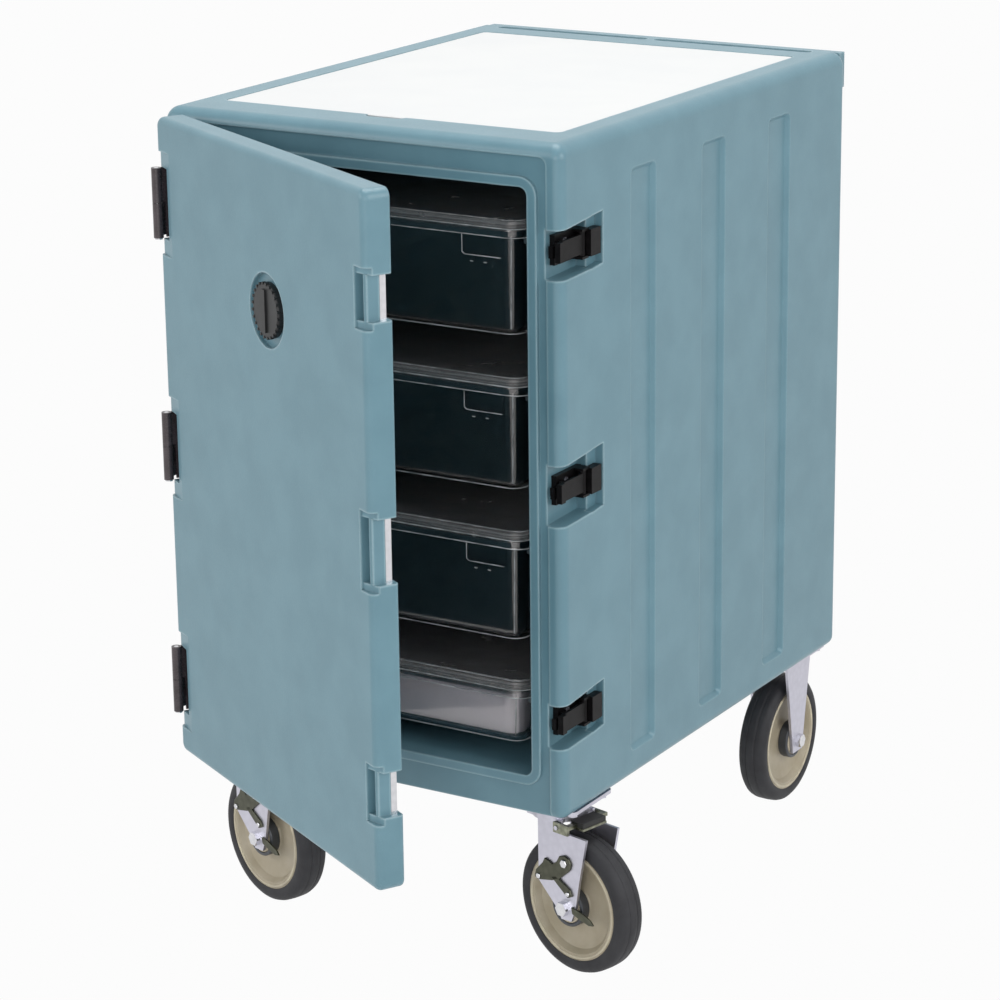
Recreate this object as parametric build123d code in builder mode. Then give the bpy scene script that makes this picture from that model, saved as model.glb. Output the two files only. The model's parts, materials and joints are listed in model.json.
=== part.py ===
from build123d import *
from math import cos, sin, radians
import os

os.makedirs("parts", exist_ok=True)

# Frame: +Z up, +X to the right of someone facing the door, the door on the -Y side.
# The origin lies on the floor, in the middle of the cart's outline with its door ajar.
ORIGIN_X = -36.9356
ORIGIN_Y = 137.7566

# Insulated body, one hollow moulding
BODY_W = 596.0
BODY_D = 800.0
BODY_H = 878.0
WALL = 49.0
REAR_WALL = 48.0
FLOOR_T = 54.0
ROOF_T = 56.0
SKIN = 5.0
CORNER_R = 14.0
TOP_R = 18.0
SEAT_DEPTH = 5.0
SEAT_INSET = 22.0
SEAT_DROP = 17.0
LIP_W = 13.0
LIP_R = 24.0
CHANNEL_W = 66.0
CHANNEL_PITCH = 192.0
CHANNEL_DEPTH = 6.0
CHANNEL_LOW = 38.0
CHANNEL_END = 58.0
CHANNEL_DRAFT = 45.0
HOLLOW_FRONT = 115.0
HOLLOW_END = 11.0
HANDLE_T = 22.0
HANDLE_H = 50.0
POCKET_DEEP = 26.0
POCKET_STEP = 12.0
POCKET_FRONT = 80.0
POCKET_END = 103.0

# Casters
WHEEL_D = 190.0
TYRE_W = 42.0
RIM_R = 76.0
CASTER_H = 236.0
SWIVEL_TRAIL = 38.0
LEFT_SWIVEL = -20.0
RIGHT_SWIVEL = -14.0
FRONT_CASTER_SIDE = 56.0
FRONT_CASTER_END = 84.0
REAR_CASTER_SIDE = 64.0
REAR_CASTER_END = 56.0
AXLE_D = 12.0
LEG_T = 4.0
PLATE_T = 5.0
PLATE_W = 102.0
BOLT_X = 41.0
BOLT_Y = 38.0

# Work board set in the roof
BOARD_SIDE_RIM = 45.5
BOARD_D = 652.0
BOARD_T = 12.7
BOARD_SUNK = 0.8
BOARD_FRONT_RIM = 75.0

# Door and its hinges
DOOR_T = 37.0
DOOR_GAP = 5.0
DOOR_LEFT_INSET = 16.0
DOOR_RIGHT_INSET = 8.0
DOOR_END_GAP = 5.0
DOOR_AJAR = 29.0
PIVOT_IN = 20.0
PIVOT_AHEAD = 45.0
HINGE_H = 92.0
KNUCKLE_R = 6.5
PIN_R = 3.0
LEAF_T = 2.5
NOTCH_DEEP = 26.0
VENT_D = 94.0
VENT_CAP_D = 70.0
DOOR_RIM = 26.0
DOOR_SIDE_RIM = 66.0

# Food boxes and their ledges
BOX_SIDE_GAP = 20.5
BOX_FRONT_GAP = 22.0
BOX_BACK_GAP = 70.0
BOX_TOP_GAP = 51.0
BOX_UNDER_GAP = 23.5
DEEP_BOX_H = 150.0
SHALLOW_BOX_H = 89.0
BOX_WALL = 3.5
TRAY_GAP = 19.0
TRAY_END_GAP = 30.0
TRAY_H = 58.0
TRAY_WALL = 3.0
LID_BAND = 9.0
RIM_BAND = 11.0
RIM_IN = 11.5
LEDGE_T = 9.0

# Clearances
SLIDE_GAP = 0.3
RUN_GAP = 0.05
FOAM_GAP = 0.5

# Positions that follow from the sizes
HALF_W = BODY_W / 2
HALF_D = BODY_D / 2
BASE = CASTER_H
TOP = BASE + BODY_H
OPEN_HALF = HALF_W - WALL
OPEN_LOW = BASE + FLOOR_T
OPEN_HIGH = TOP - ROOF_T
OPEN_MID = (OPEN_LOW + OPEN_HIGH) / 2
OPEN_TALL = OPEN_HIGH - OPEN_LOW
CAVITY_BACK = HALF_D - REAR_WALL
CHANNEL_HIGH = BODY_H - CHANNEL_END
WHEEL_R = WHEEL_D / 2
FRONT_CASTER_X = HALF_W - FRONT_CASTER_SIDE
FRONT_CASTER_Y = -HALF_D + FRONT_CASTER_END
REAR_CASTER_X = HALF_W - REAR_CASTER_SIDE
REAR_CASTER_Y = HALF_D - REAR_CASTER_END
BOLT_PLACES = [(-BOLT_X, -BOLT_Y), (-BOLT_X, BOLT_Y), (BOLT_X, -BOLT_Y), (BOLT_X, BOLT_Y)]
BOARD_W = BODY_W - 2 * BOARD_SIDE_RIM
BOX_W = 2 * (OPEN_HALF - BOX_SIDE_GAP)
BOX_L = BODY_D - REAR_WALL - BOX_FRONT_GAP - BOX_BACK_GAP
BOX_FRONT = -HALF_D + BOX_FRONT_GAP
BOX_MID = BOX_FRONT + BOX_L / 2
BOX_PITCH = (OPEN_TALL - BOX_TOP_GAP - SHALLOW_BOX_H - BOX_UNDER_GAP) / 3
LID_TOPS = [OPEN_HIGH - BOX_TOP_GAP - n * BOX_PITCH for n in range(4)]
BOX_HEIGHTS = [DEEP_BOX_H, DEEP_BOX_H, DEEP_BOX_H, SHALLOW_BOX_H]
LATCH_Z = [TOP - 134.0, (TOP + BASE) / 2 - 2.0, BASE + 130.0]
POCKET_H = [66.0, 82.0, 62.0]
NOTCH_H = [56.0, 82.0, 58.0]
HINGE_Z = [TOP - 117.0, (TOP + BASE) / 2 - 4.0, BASE + 109.0]

# Planes of the cart: the floor plan, the front seen face on, and the right side seen face on
CART = Plane(origin=(ORIGIN_X, ORIGIN_Y, 0))


def level(z):
    return CART.offset(z)


def front_plane(y):
    return Plane(origin=(ORIGIN_X, ORIGIN_Y + y, 0), x_dir=(1, 0, 0), z_dir=(0, -1, 0))


def right_plane(x):
    return Plane(origin=(ORIGIN_X + x, ORIGIN_Y, 0), x_dir=(0, 1, 0), z_dir=(1, 0, 0))


# The door's own frame, turned about the hinge pins; its numbers are those of the shut door
PIVOT_X = -HALF_W + PIVOT_IN
PIVOT_Y = -HALF_D - PIVOT_AHEAD
TURN_C = cos(radians(DOOR_AJAR))
TURN_S = sin(radians(DOOR_AJAR))
DOOR = Plane(
    origin=(
        ORIGIN_X + PIVOT_X - TURN_C * PIVOT_X - TURN_S * PIVOT_Y,
        ORIGIN_Y + PIVOT_Y + TURN_S * PIVOT_X - TURN_C * PIVOT_Y,
        0,
    ),
    x_dir=(TURN_C, -TURN_S, 0),
    z_dir=(0, 0, 1),
)
DOOR_IN = -HALF_D - DOOR_GAP
DOOR_OUT = DOOR_IN - DOOR_T
DOOR_L = -HALF_W + DOOR_LEFT_INSET
DOOR_R = HALF_W - DOOR_RIGHT_INSET
DOOR_LOW = BASE + DOOR_END_GAP
DOOR_HIGH = TOP - DOOR_END_GAP
DOOR_MID_X = (DOOR_L + DOOR_R) / 2
DOOR_MID_Z = (DOOR_LOW + DOOR_HIGH) / 2
VENT_X = DOOR_MID_X + 26.0
VENT_Z = TOP - 198.0
VENT_DEEP = 7.0
VENT_CLEAR = VENT_D / 2 + 10.0
SCOOP_H = HINGE_H + 44.0
SCOOP_END = 38.0
SCOOP_DEEP = 4.0
RAMP_END = 30.0
RAMP_DEEP = 12.0
DOOR_SEAT_X = DOOR_L + 5.0
BODY_SEAT_X = PIVOT_X - KNUCKLE_R + LEAF_T
BODY_LEAF_L = 48.0
DOOR_LEAF_L = DOOR_T - 14.0
DOOR_LEAF_Y = DOOR_IN - 6.0 - DOOR_LEAF_L / 2
HINGE_SCREWS = (-30.0, 0.0, 30.0)
DOOR_HOLLOW_W = DOOR_R - DOOR_L - 2 * DOOR_SIDE_RIM
DOOR_HOLLOW_Y = DOOR_OUT + 21.0
DOOR_HOLLOW_T = 20.0
UPPER_HOLLOW_Z = (VENT_Z + VENT_CLEAR + DOOR_HIGH - DOOR_RIM) / 2
UPPER_HOLLOW_H = DOOR_HIGH - DOOR_RIM - VENT_Z - VENT_CLEAR
LOWER_HOLLOW_Z = (VENT_Z - VENT_CLEAR + DOOR_LOW + DOOR_RIM) / 2
LOWER_HOLLOW_H = VENT_Z - VENT_CLEAR - DOOR_LOW - DOOR_RIM

# Latches: the pocket's floor, the lever's pin, the hook's pin and the screws
LATCH_X = HALF_W - POCKET_DEEP
LATCH_BASE_T = 7.0
LEVER_X = LATCH_X + 14.5
LEVER_Y = -HALF_D + 68.0
HOOK_X = LEVER_X - 2.6
HOOK_Y = -HALF_D + 22.0
LATCH_SCREW_Y = -HALF_D + 40.0

# Hollows in the body's walls
SIDE_HOLLOW_T = WALL - 2 * SKIN - CHANNEL_DEPTH
SIDE_HOLLOW_X = OPEN_HALF + SKIN + SIDE_HOLLOW_T / 2
SIDE_HOLLOW_L = CAVITY_BACK - HOLLOW_END + HALF_D - HOLLOW_FRONT
SIDE_HOLLOW_Y = (CAVITY_BACK - HOLLOW_END - HALF_D + HOLLOW_FRONT) / 2
FLOOR_HOLLOW_W = 2 * (FRONT_CASTER_X - PLATE_W / 2 - 26.0)
FLOOR_HOLLOW_L = BODY_D - 200.0
ROOF_HOLLOW_T = ROOF_T - BOARD_T - BOARD_SUNK - 2 * SKIN
ROOF_HOLLOW_Z = OPEN_HIGH + SKIN + ROOF_HOLLOW_T / 2


def door_plane(y):
    local = Plane(origin=(0, y, 0), x_dir=(1, 0, 0), z_dir=(0, -1, 0))
    return Plane(DOOR.location * local.location)


def door_plan(z):
    return DOOR.offset(z)


# Body moulding
with BuildPart(CART) as cabinet_shell:
    with Locations((0, 0, BASE + BODY_H / 2)):
        Box(BODY_W, BODY_D, BODY_H)
    fillet(cabinet_shell.edges().filter_by(Axis.Z), CORNER_R)
    fillet(cabinet_shell.faces().sort_by(Axis.Z)[-1].edges(), TOP_R)
    fillet(cabinet_shell.faces().sort_by(Axis.Z)[0].edges(), CORNER_R)
    # Pull handle moulded along the top of the back
    with Locations((0, HALF_D + HANDLE_T / 2, TOP - 3 - HANDLE_H / 2)):
        Box(BODY_W - 20, HANDLE_T, HANDLE_H)
    fillet(cabinet_shell.faces().sort_by(Axis.Y)[-1].edges(), 9)
    with Locations((0, HALF_D + 9, TOP - 47)):
        Box(BODY_W - 120, 12, 44, mode=Mode.SUBTRACT)
    # Door seat around the opening, then the raised lip on it
    with BuildSketch(front_plane(-HALF_D)):
        with Locations((0, (BASE + TOP) / 2 - SEAT_DROP)):
            RectangleRounded(BODY_W - 2 * SEAT_INSET, BODY_H, 10)
    extrude(amount=-SEAT_DEPTH, mode=Mode.SUBTRACT)
    with BuildSketch(front_plane(-HALF_D + SEAT_DEPTH)):
        with Locations((0, OPEN_MID)):
            RectangleRounded(2 * (OPEN_HALF + LIP_W), OPEN_TALL + 2 * LIP_W, LIP_R)
    extrude(amount=SEAT_DEPTH)
    # Food bay
    with BuildSketch(front_plane(-HALF_D)):
        with Locations((0, OPEN_MID)):
            RectangleRounded(2 * OPEN_HALF, OPEN_TALL, LIP_R - LIP_W)
    extrude(amount=-(CAVITY_BACK + HALF_D), mode=Mode.SUBTRACT)
    # Recess for the work board, with a finger notch at the front
    with BuildSketch(level(TOP)):
        with Locations((0, -HALF_D + BOARD_FRONT_RIM + BOARD_D / 2)):
            RectangleRounded(BOARD_W + 1.2, BOARD_D + 1.2, 9)
        with Locations((0, -HALF_D + BOARD_FRONT_RIM - 2)):
            SlotOverall(58, 22)
    extrude(amount=-(BOARD_T + BOARD_SUNK), mode=Mode.SUBTRACT)
    # Two drip grooves between the board and the handle
    with BuildSketch(level(TOP)):
        with Locations((-131, HALF_D - 26), (131, HALF_D - 26)):
            SlotOverall(250, 14)
    extrude(amount=-9, mode=Mode.SUBTRACT)
    # Upright channels in both sides
    with BuildSketch(right_plane(HALF_W)):
        with GridLocations(CHANNEL_PITCH, 1, 3, 1):
            with Locations((0, BASE + (CHANNEL_LOW + CHANNEL_HIGH) / 2)):
                RectangleRounded(CHANNEL_W, CHANNEL_HIGH - CHANNEL_LOW, 9)
    extrude(amount=-CHANNEL_DEPTH, taper=CHANNEL_DRAFT, mode=Mode.SUBTRACT)
    with BuildSketch(right_plane(-HALF_W)):
        with GridLocations(CHANNEL_PITCH, 1, 3, 1):
            with Locations((0, BASE + (CHANNEL_LOW + CHANNEL_HIGH) / 2)):
                RectangleRounded(CHANNEL_W, CHANNEL_HIGH - CHANNEL_LOW, 9)
    extrude(amount=CHANNEL_DEPTH, taper=CHANNEL_DRAFT, mode=Mode.SUBTRACT)
    # Latch pockets in the right front corner: a deep front part and a shallower back part
    for z, tall in zip(LATCH_Z, POCKET_H):
        with BuildSketch(right_plane(HALF_W)):
            with BuildLine():
                Polyline(
                    (-HALF_D - 5, z - tall / 2 - 2),
                    (-HALF_D + POCKET_FRONT, z - tall / 2 + 1),
                    (-HALF_D + POCKET_FRONT, z + tall / 2 + 1),
                    (-HALF_D - 5, z + tall / 2 - 6),
                    close=True,
                )
            make_face()
        extrude(amount=-POCKET_DEEP, mode=Mode.SUBTRACT)
        with BuildSketch(right_plane(HALF_W)):
            with BuildLine():
                Polyline(
                    (-HALF_D + POCKET_FRONT - 6, z - tall / 2),
                    (-HALF_D + POCKET_END, z - tall / 2 + 3),
                    (-HALF_D + POCKET_END, z + tall / 2 + 3),
                    (-HALF_D + POCKET_FRONT - 6, z + tall / 2 + 1),
                    close=True,
                )
            make_face()
        extrude(amount=-POCKET_STEP, mode=Mode.SUBTRACT)
        with Locations(*[(LATCH_X - 6, LATCH_SCREW_Y, z + dz) for dz in (-9, 9)]):
            Cylinder(1.9, 12, rotation=(0, 90, 0), mode=Mode.SUBTRACT)
    # Pockets in the left front corner for the hinge leaves, with their screw holes
    for z in HINGE_Z:
        with Locations((-HALF_W, -HALF_D + 22.5, z)):
            Box(2 * (HALF_W + BODY_SEAT_X), 55, HINGE_H + 4, mode=Mode.SUBTRACT)
        with Locations(*[(BODY_SEAT_X + 6, -HALF_D + 26, z + dz) for dz in HINGE_SCREWS]):
            Cylinder(2, 12, rotation=(0, 90, 0), mode=Mode.SUBTRACT)
    # Caster bolt holes in the underside
    for px, py in ((FRONT_CASTER_X, FRONT_CASTER_Y), (REAR_CASTER_X, REAR_CASTER_Y)):
        for side in (-1, 1):
            with Locations(*[(side * px + dx, py + dy, BASE + 9) for dx, dy in BOLT_PLACES]):
                Cylinder(4, 18, mode=Mode.SUBTRACT)
    # Hollows in the double wall, which the insulation fills
    with Locations((-SIDE_HOLLOW_X, SIDE_HOLLOW_Y, OPEN_MID), (SIDE_HOLLOW_X, SIDE_HOLLOW_Y, OPEN_MID)):
        Box(SIDE_HOLLOW_T, SIDE_HOLLOW_L, OPEN_TALL - 30, mode=Mode.SUBTRACT)
    with Locations((0, CAVITY_BACK + REAR_WALL / 2, OPEN_MID - 18)):
        Box(2 * OPEN_HALF - 20, REAR_WALL - 2 * SKIN, OPEN_TALL - 60, mode=Mode.SUBTRACT)
    with Locations((0, 10, BASE + FLOOR_T / 2)):
        Box(FLOOR_HOLLOW_W, FLOOR_HOLLOW_L, FLOOR_T - 2 * SKIN, mode=Mode.SUBTRACT)
    with Locations((0, 10, ROOF_HOLLOW_Z)):
        Box(2 * OPEN_HALF - 20, FLOOR_HOLLOW_L, ROOF_HOLLOW_T, mode=Mode.SUBTRACT)
cabinet_shell.part.label = "cabinet_shell"
export_step(cabinet_shell.part, "parts/cabinet_shell.step")

# Insulation inside the double wall
SLACK = 2 * FOAM_GAP
with BuildPart(CART) as wall_insulation:
    with Locations((-SIDE_HOLLOW_X, SIDE_HOLLOW_Y, OPEN_MID), (SIDE_HOLLOW_X, SIDE_HOLLOW_Y, OPEN_MID)):
        Box(SIDE_HOLLOW_T - SLACK, SIDE_HOLLOW_L - SLACK, OPEN_TALL - 30 - SLACK)
    with Locations((0, CAVITY_BACK + REAR_WALL / 2, OPEN_MID - 18)):
        Box(2 * OPEN_HALF - 20 - SLACK, REAR_WALL - 2 * SKIN - SLACK, OPEN_TALL - 60 - SLACK)
    with Locations((0, 10, BASE + FLOOR_T / 2)):
        Box(FLOOR_HOLLOW_W - SLACK, FLOOR_HOLLOW_L - SLACK, FLOOR_T - 2 * SKIN - SLACK)
    with Locations((0, 10, ROOF_HOLLOW_Z)):
        Box(2 * OPEN_HALF - 20 - SLACK, FLOOR_HOLLOW_L - SLACK, ROOF_HOLLOW_T - SLACK)
wall_insulation.part.label = "wall_insulation"
export_step(wall_insulation.part, "parts/wall_insulation.step")

# Work board
with BuildPart() as work_board:
    with BuildSketch(level(TOP - BOARD_SUNK - BOARD_T)):
        with Locations((0, -HALF_D + BOARD_FRONT_RIM + BOARD_D / 2)):
            RectangleRounded(BOARD_W, BOARD_D, 8)
    extrude(amount=BOARD_T)
    chamfer(work_board.faces().sort_by(Axis.Z)[-1].edges(), 0.8)
work_board.part.label = "work_board"
export_step(work_board.part, "parts/work_board.step")

# Ledges that carry the box rims
LEDGE_IN = BOX_W / 2 - 8.5
LEDGE_L = CAVITY_BACK + HALF_D - 52.0
LEDGE_MID = (CAVITY_BACK - HALF_D) / 2 + 16.0
for side, sign in (("left", -1), ("right", 1)):
    with BuildPart(CART) as ledges:
        for lid_top in LID_TOPS:
            ledge_top = lid_top - LID_BAND - RIM_BAND - SLIDE_GAP
            with Locations((sign * (LEDGE_IN + OPEN_HALF) / 2, LEDGE_MID, ledge_top - LEDGE_T / 2)):
                Box(OPEN_HALF - LEDGE_IN, LEDGE_L, LEDGE_T)
    ledges.part.label = "ledges_" + side
    export_step(ledges.part, "parts/ledges_" + side + ".step")

# Food boxes with their lids
BOX_HALF = BOX_W / 2 - RIM_IN
INNER_W = 2 * (BOX_HALF - BOX_WALL)
INNER_L = BOX_L - 2 * RIM_IN - 2 * BOX_WALL
for n in range(4):
    lid_top = LID_TOPS[n]
    rim_top = lid_top - LID_BAND - 0.2
    tall = BOX_HEIGHTS[n] - LID_BAND
    with BuildPart() as hollow:
        with BuildSketch(level(rim_top)):
            with Locations((0, BOX_MID)):
                RectangleRounded(INNER_W, INNER_L, 24 - BOX_WALL)
        extrude(amount=-(tall - BOX_WALL), taper=3)
        fillet(hollow.faces().sort_by(Axis.Z)[0].edges(), 12.5)
    with BuildPart() as food_box:
        with BuildSketch(level(rim_top)):
            with Locations((0, BOX_MID)):
                RectangleRounded(2 * BOX_HALF, BOX_L - 2 * RIM_IN, 24)
        extrude(amount=-tall, taper=3)
        fillet(food_box.faces().sort_by(Axis.Z)[0].edges(), 16)
        with BuildSketch(level(rim_top)):
            with Locations((0, BOX_MID)):
                RectangleRounded(BOX_W, BOX_L, 30)
        extrude(amount=-3.5)
        with BuildSketch(level(rim_top)):
            with Locations((0, BOX_MID)):
                RectangleRounded(BOX_W, BOX_L, 30)
                RectangleRounded(BOX_W - 6, BOX_L - 6, 27, mode=Mode.SUBTRACT)
        extrude(amount=-RIM_BAND + 0.2)
        add(hollow.part, mode=Mode.SUBTRACT)
    food_box.part.label = "food_box_" + str(n + 1)
    export_step(food_box.part, "parts/food_box_" + str(n + 1) + ".step")
    with BuildPart() as box_lid:
        with BuildSketch(level(lid_top - LID_BAND)):
            with Locations((0, BOX_MID)):
                RectangleRounded(BOX_W, BOX_L, 30)
        extrude(amount=LID_BAND)
        with BuildSketch(level(lid_top)):
            with Locations((0, BOX_MID)):
                RectangleRounded(BOX_W - 26, BOX_L - 26, 18)
        extrude(amount=-5, mode=Mode.SUBTRACT)
        with BuildSketch(level(lid_top - LID_BAND)):
            with Locations((0, BOX_MID)):
                RectangleRounded(INNER_W - 2, INNER_L - 2, 20)
                RectangleRounded(INNER_W - 8, INNER_L - 8, 17, mode=Mode.SUBTRACT)
        extrude(amount=-6)
    box_lid.part.label = "box_lid_" + str(n + 1)
    export_step(box_lid.part, "parts/box_lid_" + str(n + 1) + ".step")

# Drain tray standing in the bottom box
TRAY_FLOOR = LID_TOPS[3] - SHALLOW_BOX_H + BOX_WALL + SLIDE_GAP
TRAY_W = 2 * (BOX_HALF - TRAY_GAP)
TRAY_L = BOX_L - 2 * TRAY_END_GAP
with BuildPart() as drain_tray:
    with BuildSketch(level(TRAY_FLOOR + TRAY_H)):
        with Locations((0, BOX_MID)):
            RectangleRounded(TRAY_W, TRAY_L, 22)
    extrude(amount=-TRAY_H, taper=4)
    with BuildSketch(level(TRAY_FLOOR + TRAY_H)):
        with Locations((0, BOX_MID)):
            RectangleRounded(TRAY_W - 2 * TRAY_WALL, TRAY_L - 2 * TRAY_WALL, 22 - TRAY_WALL)
    extrude(amount=-(TRAY_H - TRAY_WALL), taper=4, mode=Mode.SUBTRACT)
drain_tray.part.label = "drain_tray"
export_step(drain_tray.part, "parts/drain_tray.step")

# Door moulding
with BuildPart(DOOR) as door_panel:
    with Locations((DOOR_MID_X, (DOOR_IN + DOOR_OUT) / 2, DOOR_MID_Z)):
        Box(DOOR_R - DOOR_L, DOOR_T, DOOR_HIGH - DOOR_LOW)
    fillet(door_panel.edges().filter_by(Axis((0, 0, 0), DOOR.y_dir)), 12)
    outer = door_panel.faces().sort_by(Axis((0, 0, 0), -DOOR.y_dir))[-1]
    fillet(outer.edges(), 9)
    inner = door_panel.faces().sort_by(Axis((0, 0, 0), -DOOR.y_dir))[0]
    fillet(inner.edges(), 4)
    # Gasket groove
    with BuildSketch(door_plane(DOOR_IN)):
        with Locations((0, OPEN_MID)):
            RectangleRounded(2 * OPEN_HALF + 28, OPEN_TALL + 28, 26)
            RectangleRounded(2 * OPEN_HALF - 2, OPEN_TALL - 2, 12, mode=Mode.SUBTRACT)
    extrude(amount=1.5, mode=Mode.SUBTRACT)
    # Hinge recesses at the left edge: a shallow scoop, a deep ramp behind the knuckles, a seat in the side
    for z in HINGE_Z:
        for end, deep, tall in ((SCOOP_END, SCOOP_DEEP, SCOOP_H), (RAMP_END, RAMP_DEEP, HINGE_H + 2)):
            with BuildSketch(door_plan(z - tall / 2)):
                with BuildLine():
                    Polyline(
                        (DOOR_L - 2, DOOR_OUT - 2),
                        (DOOR_L + end, DOOR_OUT - 2),
                        (DOOR_L + end, DOOR_OUT),
                        (DOOR_SEAT_X, DOOR_OUT + deep),
                        (DOOR_L - 2, DOOR_OUT + deep),
                        close=True,
                    )
                make_face()
            extrude(amount=tall, mode=Mode.SUBTRACT)
        with Locations((DOOR_SEAT_X - 5, (DOOR_IN + DOOR_OUT) / 2, z)):
            Box(10, DOOR_T + 2, SCOOP_H, mode=Mode.SUBTRACT)
        with Locations(*[(DOOR_SEAT_X + 5, DOOR_LEAF_Y, z + dz) for dz in HINGE_SCREWS]):
            Cylinder(2, 10, rotation=(0, 90, 0), mode=Mode.SUBTRACT)
    # Latch notches in the free edge, each with an upright bar moulded across it
    for z, tall in zip(LATCH_Z, NOTCH_H):
        with Locations((DOOR_R - NOTCH_DEEP / 2 + 1, (DOOR_IN + DOOR_OUT) / 2, z)):
            Box(NOTCH_DEEP + 2, DOOR_T + 2, tall, mode=Mode.SUBTRACT)
        with BuildSketch(door_plan(z - tall / 2 - 9)):
            with BuildLine():
                Polyline(
                    (DOOR_R - NOTCH_DEEP, DOOR_OUT - 1),
                    (DOOR_R + 1, DOOR_OUT - 1),
                    (DOOR_R + 1, DOOR_OUT + 11),
                    (DOOR_R - NOTCH_DEEP, DOOR_OUT + 3),
                    close=True,
                )
            make_face()
        extrude(amount=tall + 18, mode=Mode.SUBTRACT)
        with Locations((DOOR_R - NOTCH_DEEP + 14, DOOR_OUT + 15.5, z)):
            Box(8, 17, tall + 0.1)
    # Round vent recess, with a blind hole for the cap's stem
    with Locations((VENT_X, DOOR_OUT + VENT_DEEP / 2 - 1, VENT_Z)):
        Cylinder(VENT_D / 2, VENT_DEEP + 2, rotation=(90, 0, 0), mode=Mode.SUBTRACT)
    with Locations((VENT_X, DOOR_OUT + VENT_DEEP + 7, VENT_Z)):
        Cylinder(7 + RUN_GAP, 14, rotation=(90, 0, 0), mode=Mode.SUBTRACT)
    # Hollows for the insulation, above and below the vent
    with Locations((DOOR_MID_X, DOOR_HOLLOW_Y, UPPER_HOLLOW_Z)):
        Box(DOOR_HOLLOW_W, DOOR_HOLLOW_T, UPPER_HOLLOW_H, mode=Mode.SUBTRACT)
    with Locations((DOOR_MID_X, DOOR_HOLLOW_Y, LOWER_HOLLOW_Z)):
        Box(DOOR_HOLLOW_W, DOOR_HOLLOW_T, LOWER_HOLLOW_H, mode=Mode.SUBTRACT)
door_panel.part.label = "door_panel"
export_step(door_panel.part, "parts/door_panel.step")

# Insulation inside the door
with BuildPart(DOOR) as door_insulation:
    with Locations((DOOR_MID_X, DOOR_HOLLOW_Y, UPPER_HOLLOW_Z)):
        Box(DOOR_HOLLOW_W - SLACK, DOOR_HOLLOW_T - SLACK, UPPER_HOLLOW_H - SLACK)
    with Locations((DOOR_MID_X, DOOR_HOLLOW_Y, LOWER_HOLLOW_Z)):
        Box(DOOR_HOLLOW_W - SLACK, DOOR_HOLLOW_T - SLACK, LOWER_HOLLOW_H - SLACK)
door_insulation.part.label = "door_insulation"
export_step(door_insulation.part, "parts/door_insulation.step")

# Door gasket
with BuildPart() as door_gasket:
    with BuildSketch(door_plane(DOOR_IN - 1.5)):
        with Locations((0, OPEN_MID)):
            RectangleRounded(2 * OPEN_HALF + 27.4, OPEN_TALL + 27.4, 25.7)
            RectangleRounded(2 * OPEN_HALF - 1.4, OPEN_TALL - 1.4, 12.3, mode=Mode.SUBTRACT)
    extrude(amount=-(DOOR_GAP + 1.5 - SLIDE_GAP))
door_gasket.part.label = "door_gasket"
export_step(door_gasket.part, "parts/door_gasket.step")

# Vent cap with its stem
with BuildPart(DOOR) as vent_cap:
    with Locations((VENT_X, DOOR_OUT + VENT_DEEP - SLIDE_GAP - 4.5, VENT_Z)):
        Cylinder(VENT_CAP_D / 2, 9, rotation=(90, 0, 0))
    front = vent_cap.faces().sort_by(Axis((0, 0, 0), -DOOR.y_dir))[-1]
    fillet(front.edges(), 3)
    with Locations((VENT_X, DOOR_OUT + VENT_DEEP - SLIDE_GAP + 6, VENT_Z)):
        Cylinder(7, 12, rotation=(90, 0, 0))
    with Locations((VENT_X, DOOR_OUT + VENT_DEEP - SLIDE_GAP - 9, VENT_Z)):
        Box(8, 5, VENT_CAP_D - 16)
vent_cap.part.label = "vent_cap"
export_step(vent_cap.part, "parts/vent_cap.step")

# Bright keeper bars that stand behind the moulded bars in the door's notches
with BuildPart(DOOR) as keeper_strikes:
    for z, tall in zip(LATCH_Z, NOTCH_H):
        with Locations((DOOR_R - NOTCH_DEEP + 14, DOOR_OUT + 28.2, z)):
            Box(8, 8, tall)
keeper_strikes.part.label = "keeper_strikes"
export_step(keeper_strikes.part, "parts/keeper_strikes.step")

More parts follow.
